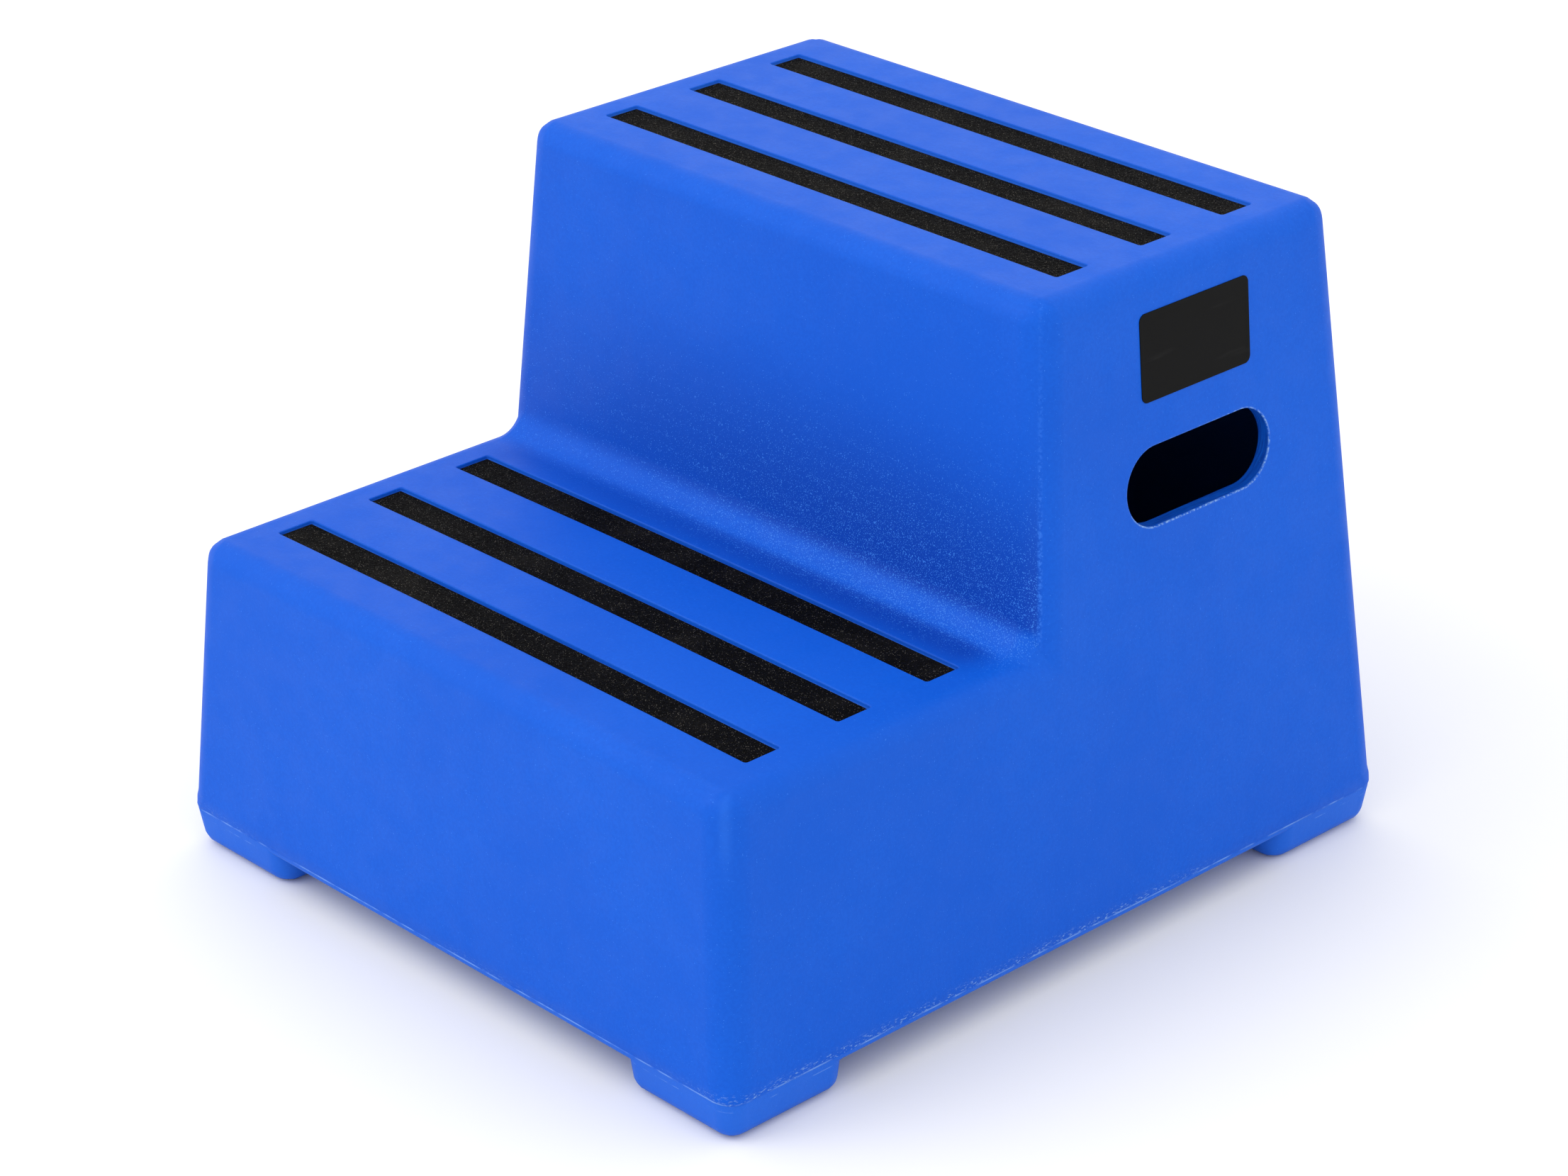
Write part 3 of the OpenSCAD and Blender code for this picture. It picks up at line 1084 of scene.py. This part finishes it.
    def slot_marks(self):
        """Whitened burr on the slots' outer edge, the relief of their cut face, and painted shade
        on that face.
        """
        along = self.minus(self.y, SLOT_PLACE.y)
        up = self.minus(self.z, SLOT_PLACE.z)
        past_straight = self.minus(self.math("ABSOLUTE", along), slot_straight(self.cuts))
        squares = [self.math("POWER", reach, 2.0)
                   for reach in (self.most(past_straight, 0.0), self.math("ABSOLUTE", up))]
        radius = self.math("SQRT", self.plus(*squares))
        from_rim = self.minus(radius, self.cuts.slot_height / 2)
        rim, half, soft = self.burr_band
        tilted = self.minus(up, self.times(along, 0.5))
        burr = self.times(self.band(from_rim, rim, half, soft),
                          self.fade(self.from_side, *self.burr_depth),
                          self.patches(520, 4.0, 0.36, 0.66),
                          self.fade(tilted, *self.burr_turn, self.burr_top))
        in_slot = self.times(self.ramp(self.from_side, *self.cut_start),
                             self.fade(self.from_side, *self.cut_end),
                             self.fade(from_rim, *self.cut_rim),
                             self.ramp(radius, *self.cut_middle))
        lines = self.noise(70, 3.0, self.stretch((16.0, 1.0, 1.0)))
        # Painted shade on the cut face, laid in streaks along the tool lines
        tone = self.ramp(lines, 0.35, 0.65, 0.0, self.cut_share)
        return burr, self.times(in_slot, lines), self.times(in_slot, tone)

    def painted_corner_highlights(self):
        """Painted highlight along the upright corners, where the distances from both walls are the
        same.
        """
        front = self.times(
            self.band(self.minus(self.from_side, self.from_front), 0.0, 0.0, self.front_width),
            self.ramp(self.above, *self.front_climb, 0.0, self.front_share),
            self.patches(30, 4.0, 0.30, 0.65))
        riser = self.times(
            self.band(self.minus(self.from_side, self.from_riser), 0.0, 0.0, self.riser_width),
            self.ramp(self.above, *self.riser_climb), self.patches(480, 3.0, 0.42, 0.62),
            self.fade(self.above, *self.riser_fade, self.riser_top))
        return self.times(self.plus(front, riser), self.fade(self.from_side, *self.corner_reach))

    def sunken(self, nodes, tread_z):
        """Painted highlight on the walls and floors of one tread's recesses."""
        half, front, _, floor = recess_outline(nodes[0], self.cuts, 0.0)
        back = recess_outline(nodes[-1], self.cuts, 0.0)[2]
        under, over = (floor - drop for drop in self.recess_floor)
        rise, drop = self.recess_top
        slack = self.recess_slack
        return self.times(self.fade(self.z, floor + rise, tread_z - drop),
                          self.ramp(self.z, under, over),
                          self.band(self.x, 0.0, half + slack, slack),
                          self.band(self.y, (front + back) / 2, (back - front) / 2 + slack, slack))


def polyethylene(look, s, cuts):
    """Blue moulded plastic: fine grain, pale flecks, a scuffed parting line, burrs, and painted
    shade and highlights.
    """
    f = Polyethylene(s, cuts)
    trimmed, scuffs, below = f.parting_marks()
    burr, tool_lines, painted_cut_shade = f.slot_marks()
    clouds = f.times(f.patches(7.0, 4.0, 0.35, 0.65), 0.6)
    mottle = f.times(f.patches(430, 3.0, 0.32, 0.68), 0.7)
    sunken = [f.times(f.sunken(nodes, tread_z), 0.8)
              for nodes, tread_z in ((LOW_STRIPS, s.low_height), (TOP_STRIPS, s.top_height))]
    layers = (
        (f.plus(clouds, mottle), look.plastic_deep),
        # Painted shade in the corner at the riser's root
        (f.times(f.painted_root_shade(), 0.9), look.plastic_painted_shade),
        # Painted highlight along the upright corners
        (f.painted_corner_highlights(), look.plastic_pale),
        # Paler blue below the parting line
        (below, look.plastic_pale),
        # Painted shade on the slots' cut faces
        (painted_cut_shade, look.plastic_painted_shade),
        # Painted highlight on the recesses' walls and floors
        (sunken[0], look.plastic_pale),
        (sunken[1], look.plastic_pale),
        (f.times(f.flecks(), 0.75), look.fleck),
        (f.most(trimmed, f.times(burr, 0.85)), look.scuff),
        # Painted shade on the closed inside
        (f.layer(INSIDE_LAYER), look.inside),
    )
    plastic = look.plastic
    for share, over in layers:
        plastic = f.mix(share, plastic, over)

    # Relief: an orange-peel skin over a fine grain, with the marks on top
    grain = f.bump(f.noise(900, 2.0), strength=0.22, distance=0.0002)
    peel = f.bump(f.noise(160, 2.0), strength=0.16, distance=0.0006, under=grain)
    marks = f.plus(tool_lines, f.times(f.plus(burr, scuffs), 0.6))
    skin = f.bump(marks, strength=0.7, distance=0.0004, under=peel)
    rough = f.plus(f.patches(45, 3.0, 0.3, 0.7, at_low=0.50, at_high=0.60), f.times(trimmed, 0.2))
    f.give(Base_Color=plastic, Roughness=rough, Normal=skin, Specular_IOR_Level=0.15)
    return f.material


def grit_tape(look):
    """Black anti-slip tape: grit in a dark binder, with painted glints and tan upright cut edges.
    """
    f = Finish("grit_tape")
    grains_per_metre = 1500
    grain = f.cells(grains_per_metre)
    tint = f.node("ShaderNodeSeparateColor")
    f.feed(tint.inputs[0], f.cells(grains_per_metre, "Color"))
    # Painted glints on the brightest grit cells
    glint = f.times(f.ramp(tint.outputs[0], 0.86, 0.98), f.fade(grain, 0.2, 0.45))
    facing = f.node("ShaderNodeSeparateXYZ")
    f.feed(facing.inputs[0], f.node("ShaderNodeNewGeometry").outputs["True Normal"])
    side = f.fade(f.math("ABSOLUTE", facing.outputs[2]), 0.25, 0.5)
    wear = f.times(f.patches(25, 3.0, 0.45, 0.7, at_high=0.2), 0.1)
    tape = f.mix(f.plus(glint, wear), look.tape, look.tape_grain)
    # Tan on the tape's upright side faces
    tape = f.mix(side, tape, look.tape_edge)
    relief = f.bump(f.ramp(grain, 0.6, 0.0), strength=0.75, distance=0.0004)
    rough = f.ramp(tint.outputs[1], 0.0, 1.0, at_low=0.55, at_high=0.95)
    f.give(Base_Color=tape, Roughness=rough, Normal=relief, Specular_IOR_Level=0.03)
    return f.material


def label_film(look):
    """Satin black film with faint handling marks."""
    f = Finish("label_film")
    marks = f.noise(60, 5.0, f.stretch((1.0, 0.25, 2.0)))
    film = f.mix(f.ramp(marks, 0.6, 0.85, at_high=0.01), look.film, WHITE)
    rough = f.ramp(marks, 0.3, 0.7, at_low=0.34, at_high=0.42)
    skin = f.bump(f.noise(420, 2.0), strength=0.08, distance=0.0001)
    f.give(Base_Color=film, Roughness=rough, Normal=skin, Specular_IOR_Level=0.07)
    return f.material


def pad_rubber(look):
    """Matte black rubber with a moulded skin and a dusting of grime."""
    f = Finish("pad_rubber")
    most_dust = 0.25
    dust = f.patches(70, 4.0, 0.5, 0.75, at_high=most_dust)
    rubber = f.mix(dust, look.rubber, look.grime)
    rough = f.ramp(dust, 0.0, most_dust, at_low=0.72, at_high=0.92)
    skin = f.bump(f.noise(700, 3.0), strength=0.3, distance=0.0002)
    f.give(Base_Color=rubber, Roughness=rough, Normal=skin)
    return f.material


# The studio


def pale_floor(s):
    """Matte paper with a very faint mottle."""
    f = Finish("pale_floor")
    mottle = f.patches(3.0, 3.0, 0.3, 0.7, at_high=0.02)
    paper = f.mix(mottle, s.floor_colour, s.floor_mottle)
    f.give(Base_Color=paper, Roughness=0.9, Specular_IOR_Level=0.2)
    return f.material


class MOUNTING_BLOCK_OT_stage(bpy.types.Operator):
    """Add the camera, the pale floor and the soft lights"""

    bl_idname = "mounting_block.stage"
    bl_label = "Stage"

    def execute(self, context):
        s = context.scene.block_stage
        back = Vector((math.sin(s.azimuth) * math.cos(s.elevation),
                       -math.cos(s.azimuth) * math.cos(s.elevation),
                       math.sin(s.elevation)))
        turn = back.to_track_quat("Z", "Y") @ Quaternion((0, 0, 1), s.roll)
        bpy.ops.object.camera_add(location=Vector(s.target) + back * s.distance,
                                  rotation=turn.to_euler())
        camera = context.object
        camera.name = "studio_camera"
        camera.data.lens = s.lens
        camera.data.sensor_width = s.sensor
        context.scene.camera = camera
        bpy.ops.mesh.primitive_plane_add(size=s.floor_size)
        floor = context.object
        floor.name = "studio_floor"
        floor.data.materials.append(pale_floor(s))
        world = bpy.data.worlds.new("white_surround")
        world.use_nodes = True
        background = world.node_tree.nodes["Background"]
        background.inputs["Color"].default_value = WHITE
        background.inputs["Strength"].default_value = s.surround
        context.scene.world = world
        aim = Vector(s.key_place).to_track_quat("Z", "Y").to_euler()
        bpy.ops.object.light_add(type="AREA", location=s.key_place, rotation=aim)
        key = context.object
        key.name = "soft_key"
        key.data.shape = "DISK"
        key.data.size = s.key_size
        key.data.energy = s.key_power
        context.scene.view_settings.view_transform = "Standard"
        return {"FINISHED"}


class MOUNTING_BLOCK_PT_sidebar(bpy.types.Panel):
    """Sidebar panel with a button for each piece and for the stage"""

    bl_idname = "MOUNTING_BLOCK_PT_sidebar"
    bl_label = "Mounting Block"
    bl_space_type = "VIEW_3D"
    bl_region_type = "UI"
    bl_category = "Mounting Block"

    def draw(self, context):
        for operator in OPERATORS:
            self.layout.operator(operator.bl_idname)
        for name, group in SETTINGS.items():
            box = self.layout.box()
            box.label(text=group.__doc__)
            for item in group.__annotations__:
                text = item.replace("_", " ").capitalize()
                box.prop(getattr(context.scene, name), item, text=text)


OPERATORS = (
    MOUNTING_BLOCK_OT_body,
    MOUNTING_BLOCK_OT_strips,
    MOUNTING_BLOCK_OT_label,
    MOUNTING_BLOCK_OT_pads,
    MOUNTING_BLOCK_OT_stage,
)
SETTINGS = {
    "block_body": BlockBody,
    "block_cuts": BlockCuts,
    "block_trim": BlockTrim,
    "block_finish": BlockFinish,
    "block_stage": BlockStage,
}
CLASSES = tuple(SETTINGS.values()) + OPERATORS + (MOUNTING_BLOCK_PT_sidebar,)


def register():
    for each in CLASSES:
        bpy.utils.register_class(each)
    for name, group in SETTINGS.items():
        setattr(bpy.types.Scene, name, PointerProperty(type=group))


def unregister():
    for name in SETTINGS:
        delattr(bpy.types.Scene, name)
    for each in reversed(CLASSES):
        bpy.utils.unregister_class(each)


def main():
    register()
    bpy.ops.mounting_block.body()
    bpy.ops.mounting_block.strips()
    bpy.ops.mounting_block.label()
    bpy.ops.mounting_block.pads()
    bpy.ops.mounting_block.stage()


if __name__ == "__main__":
    main()
